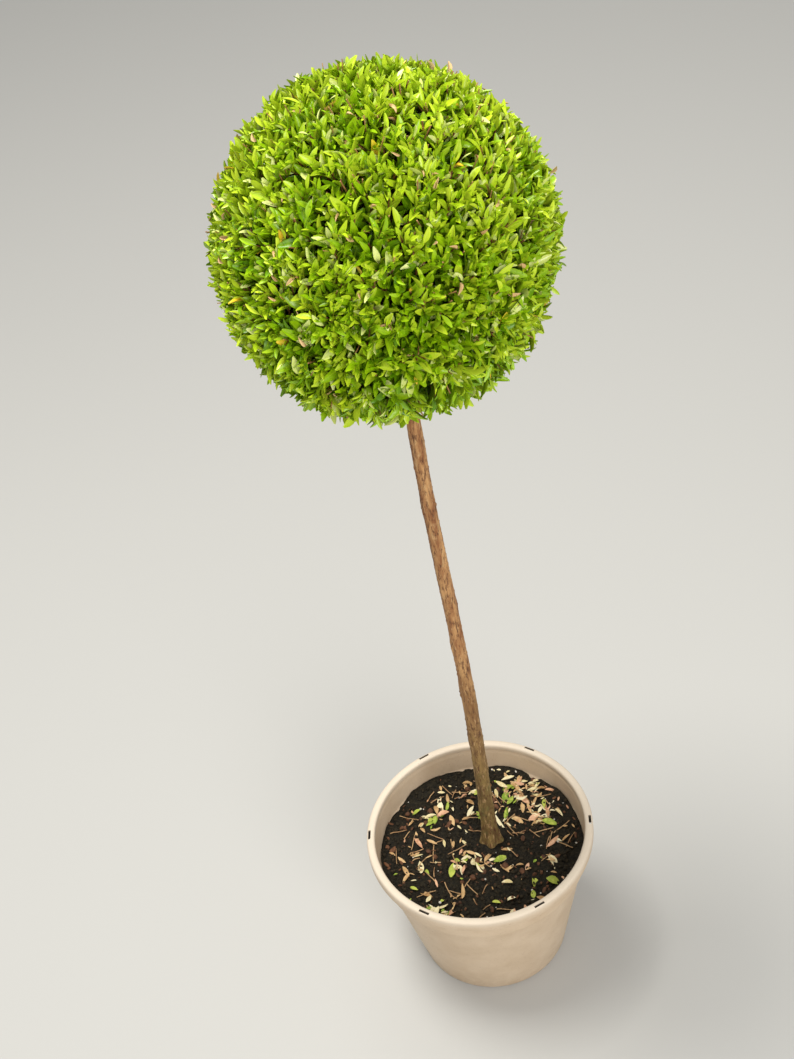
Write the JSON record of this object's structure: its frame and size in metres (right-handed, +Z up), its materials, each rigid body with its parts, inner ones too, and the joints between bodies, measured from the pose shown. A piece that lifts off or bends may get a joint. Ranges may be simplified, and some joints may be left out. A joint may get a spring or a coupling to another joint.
{
  "type": "standard lollipop topiary in a nursery pot",
  "caption": "Small standard topiary: a clipped ball of small glossy evergreen leaves on a single bare stem, rooted in a round tapering plastic pot with a rolled lip, filled with potting mix.",
  "frame": {"origin": "middle of the pot's flat underside", "axes": "+Z up along the plant, -Y towards the front, +X to the right"},
  "size_m": [0.182, 0.1832, 0.7082],
  "materials": {
    "pot_plastic": "sandy beige moulded plastic, faintly mottled, with a soft sheen on the lip",
    "potting_mix": "dark brown peat and bark mix with white perlite grains and dry leaves",
    "bark": "rough flecked reddish tan bark",
    "foliage": "glossy yellow-green leaves, darker inside"
  },
  "bodies": {
    "root": {"pot": "pot_plastic", "potting_mix": "potting_mix", "main_stem": "bark", "bough_1": "bark", "bough_2": "bark", "bough_3": "bark", "bough_4": "bark", "bough_5": "bark", "bough_6": "bark", "clipped_crown": "foliage"}
  },
  "joints": []
}
